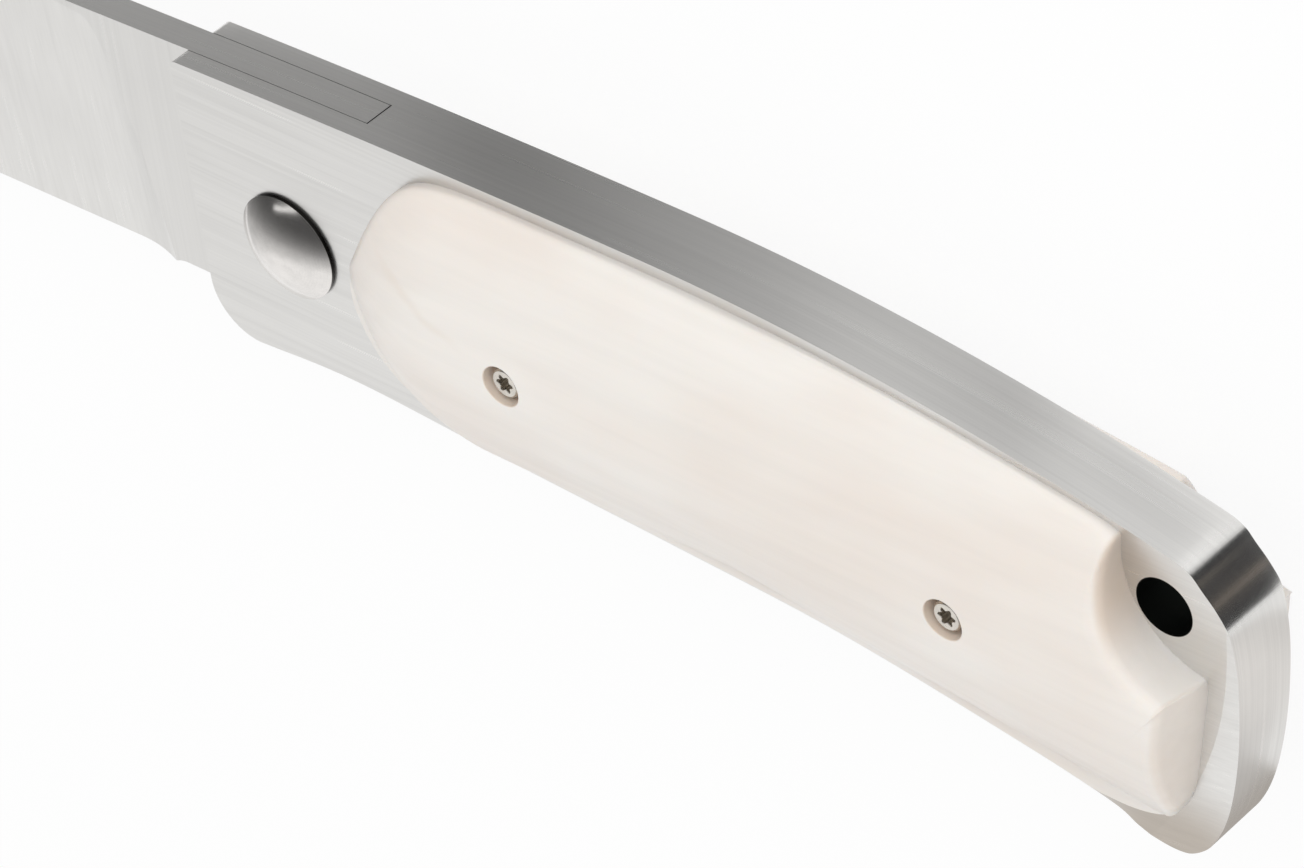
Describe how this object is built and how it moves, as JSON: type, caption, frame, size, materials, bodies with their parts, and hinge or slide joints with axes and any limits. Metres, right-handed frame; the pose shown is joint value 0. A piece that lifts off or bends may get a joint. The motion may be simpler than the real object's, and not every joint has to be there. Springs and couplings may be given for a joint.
{
  "type": "folding pocket knife",
  "caption": "Folding pocket knife: a drop-point blade turns on a domed pivot in a slot between steel bolster plates with contoured bone scales and a lanyard hole.",
  "frame": {"origin": "centre of the lanyard hole, at the middle of the handle's thickness", "axes": "+X along the handle to the butt, +Y to the spine, +Z out of the near side, along the lanyard hole and the pivot; the blade is open and points to -X"},
  "size_m": [0.1629, 0.0325, 0.0154],
  "materials": {
    "blade_steel": "fine satin, ground across the blade",
    "satin_steel": "satin, brushed lengthwise",
    "polished_steel": "mirror polished",
    "screw_steel": "fine machined",
    "hard_steel": "ground",
    "spring_steel": "blued strip",
    "bronze": "smooth",
    "bone": "smooth polished bone, faint lengthwise grain"
  },
  "bodies": {
    "handle": {"near_plate": "satin_steel", "far_plate": "satin_steel", "back_spacer": "satin_steel", "pivot_barrel": "polished_steel", "pivot_screw": "polished_steel", "near_washer": "bronze", "far_washer": "bronze", "stop_pin": "hard_steel", "near_detent_spring": "spring_steel", "far_detent_spring": "spring_steel", "near_detent_ball": "hard_steel", "far_detent_ball": "hard_steel", "near_spring_rivets": "hard_steel", "far_spring_rivets": "hard_steel", "near_scale": "bone", "far_scale": "bone", "near_scale_screws": "screw_steel", "far_scale_screws": "screw_steel", "near_frame_screws": "screw_steel", "far_frame_screws": "screw_steel", "dowel_pins": "hard_steel"},
    "blade": {"blade": "blade_steel"}
  },
  "joints": [
    {"name": "blade_pivot", "type": "hinge", "parent": "handle", "child": "blade", "pos_m": [-0.0808, -0.0037, 0], "axis": [0, 0, 1], "range_deg": [0, 174], "deforming": ["near_detent_spring", "far_detent_spring", "near_detent_ball", "far_detent_ball"]}
  ]
}
